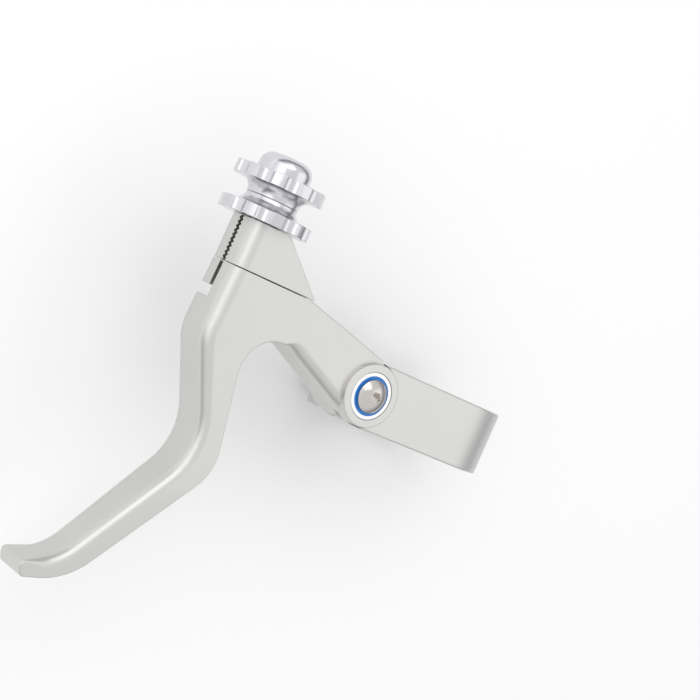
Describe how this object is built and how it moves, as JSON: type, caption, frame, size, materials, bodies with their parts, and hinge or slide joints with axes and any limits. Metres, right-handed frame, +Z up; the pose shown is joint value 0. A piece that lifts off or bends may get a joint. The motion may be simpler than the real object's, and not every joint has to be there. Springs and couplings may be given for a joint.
{
  "type": "brake shift lever",
  "caption": "Cross-top bicycle brake lever with a hooked blade on sealed bearings, a handlebar band clamp and a lobed barrel adjuster.",
  "frame": {"origin": "centre of the handlebar bore, halfway along the band", "axes": "+Y along the bar towards the blade's tip, +X forward from the bar to the lever, +Z up along the lever's pivot"},
  "size_m": [0.1148, 0.1016, 0.0422],
  "materials": {
    "satin_aluminium": "satin anodised silver",
    "polished_aluminium": "polished",
    "stainless_steel": "polished stainless",
    "bearing_steel": "ground bearing steel",
    "blue_seal": "matt rubber",
    "plated_ferrule": "dark plated"
  },
  "bodies": {
    "bracket": {"bracket": "satin_aluminium", "pivot_bolt": "stainless_steel", "pivot_nut": "stainless_steel", "upper_spacer": "stainless_steel", "lower_spacer": "stainless_steel", "clamp_bolt": "stainless_steel", "clamp_washer": "stainless_steel", "travel_stop_screw": "stainless_steel", "upper_inner_race": "bearing_steel", "lower_inner_race": "bearing_steel"},
    "lever": {"lever": "satin_aluminium", "upper_outer_race": "bearing_steel", "lower_outer_race": "bearing_steel", "upper_balls": "bearing_steel", "lower_balls": "bearing_steel", "upper_outer_seal": "blue_seal", "upper_inner_seal": "blue_seal", "lower_outer_seal": "blue_seal", "lower_inner_seal": "blue_seal"},
    "lock_ring": {"lock_ring": "polished_aluminium"},
    "ferrule": {"housing_ferrule": "plated_ferrule"},
    "adjuster": {"barrel_adjuster": "polished_aluminium"}
  },
  "joints": [
    {"name": "lever_pivot", "type": "hinge", "parent": "bracket", "child": "lever", "pos_m": [0.0315, 0, 0.0132], "axis": [0, 0, 1], "range_deg": [0, 22]},
    {"name": "lock_ring_turn", "type": "hinge", "parent": "bracket", "child": "lock_ring", "pos_m": [0.0728, -0.026, 0.0132], "axis": [0, -1, 0], "range_deg": [-90, 90]},
    {"name": "adjuster_travel", "type": "slide", "parent": "bracket", "child": "ferrule", "axis": [0, -1, 0], "range_m": [0, 0.003]},
    {"name": "adjuster_turn", "type": "hinge", "parent": "ferrule", "child": "adjuster", "pos_m": [0.0728, -0.034, 0.0132], "axis": [0, -1, 0], "range_deg": [0, 1081]}
  ],
  "couplings": [
    {"joint": "adjuster_turn", "follows": "adjuster_travel", "rad_per_m": 6283.2}
  ]
}
